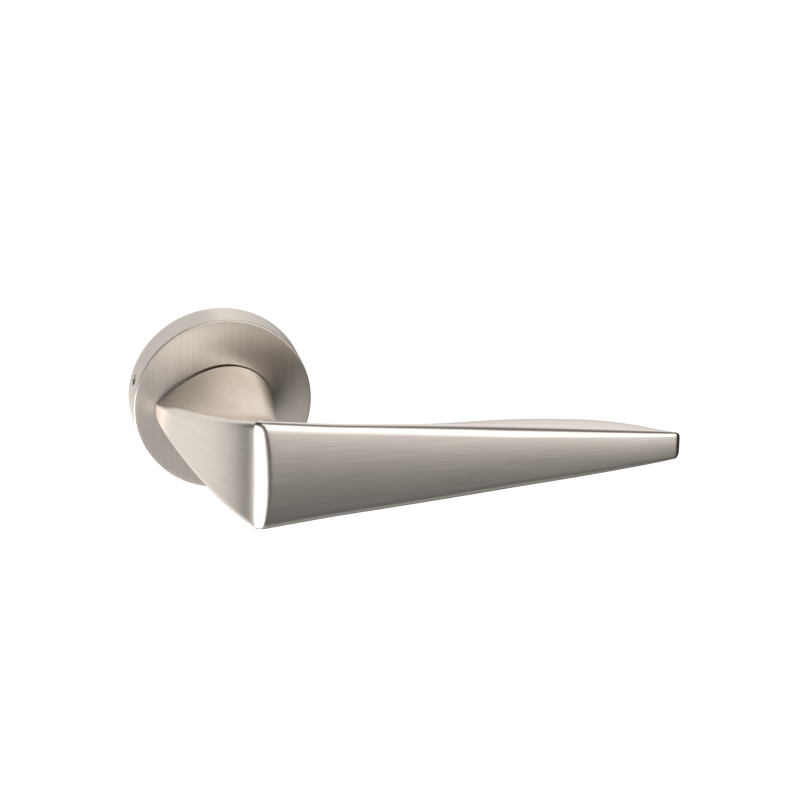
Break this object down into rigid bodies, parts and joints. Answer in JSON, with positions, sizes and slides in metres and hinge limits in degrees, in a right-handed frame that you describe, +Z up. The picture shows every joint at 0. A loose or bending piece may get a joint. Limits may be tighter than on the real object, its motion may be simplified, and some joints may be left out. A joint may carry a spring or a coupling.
{
  "type": "door lever handle",
  "caption": "Tapered door lever with a folded triangular neck, on a plain round rose, with square spindle, spring cassette and bolt sleeves.",
  "frame": {"origin": "where the spindle's axis meets the door's face, which is the rose's back face", "axes": "+Z up, +Y along the spindle into the door, so the lever stands out along -Y; +X along the grip to its tip"},
  "size_m": [0.1422, 0.1016, 0.05],
  "materials": {
    "satin_nickel": "satin nickel plate, brushed in fine straight lines along each face, warm grey",
    "steel": "turned bare steel with fine rings",
    "zinc_steel": "bright zinc plate, slightly mottled",
    "spring_steel": "drawn spring wire and strip, oiled grey",
    "black_steel": "blackened steel screws",
    "black_nylon": "moulded black nylon, fine matt grain",
    "grey_nylon": "moulded glass-filled nylon, dark grey, fine matt grain",
    "white_nylon": "natural nylon, slightly translucent off-white",
    "brass": "turned brass",
    "rubber": "black rubber"
  },
  "bodies": {
    "rose": {"rose_cover": "satin_nickel", "rose_grub_screw": "black_steel", "glide_washer": "black_nylon", "front_bush": "black_nylon", "base_plate": "grey_nylon", "rear_bush": "white_nylon", "cassette_lid": "zinc_steel", "lid_screws": "zinc_steel", "anchor_pin": "steel", "bolt_sleeves": "brass", "cover_o_ring": "rubber", "return_spring": "spring_steel"},
    "lever_set": {"lever": "satin_nickel", "lever_shank": "steel", "lever_grub_screw": "black_steel", "spindle": "zinc_steel", "circlip": "spring_steel", "wave_washer": "spring_steel", "thrust_washer": "zinc_steel", "spring_driver": "zinc_steel"}
  },
  "joints": [
    {"name": "lever_turn", "type": "hinge", "parent": "rose", "child": "lever_set", "pos_m": [0, 0, 0], "axis": [0, 1, 0], "range_deg": [0, 50], "stiffness_Nm_per_rad": 0.7, "springref_deg": -49.85, "deforming": ["return_spring"]}
  ]
}
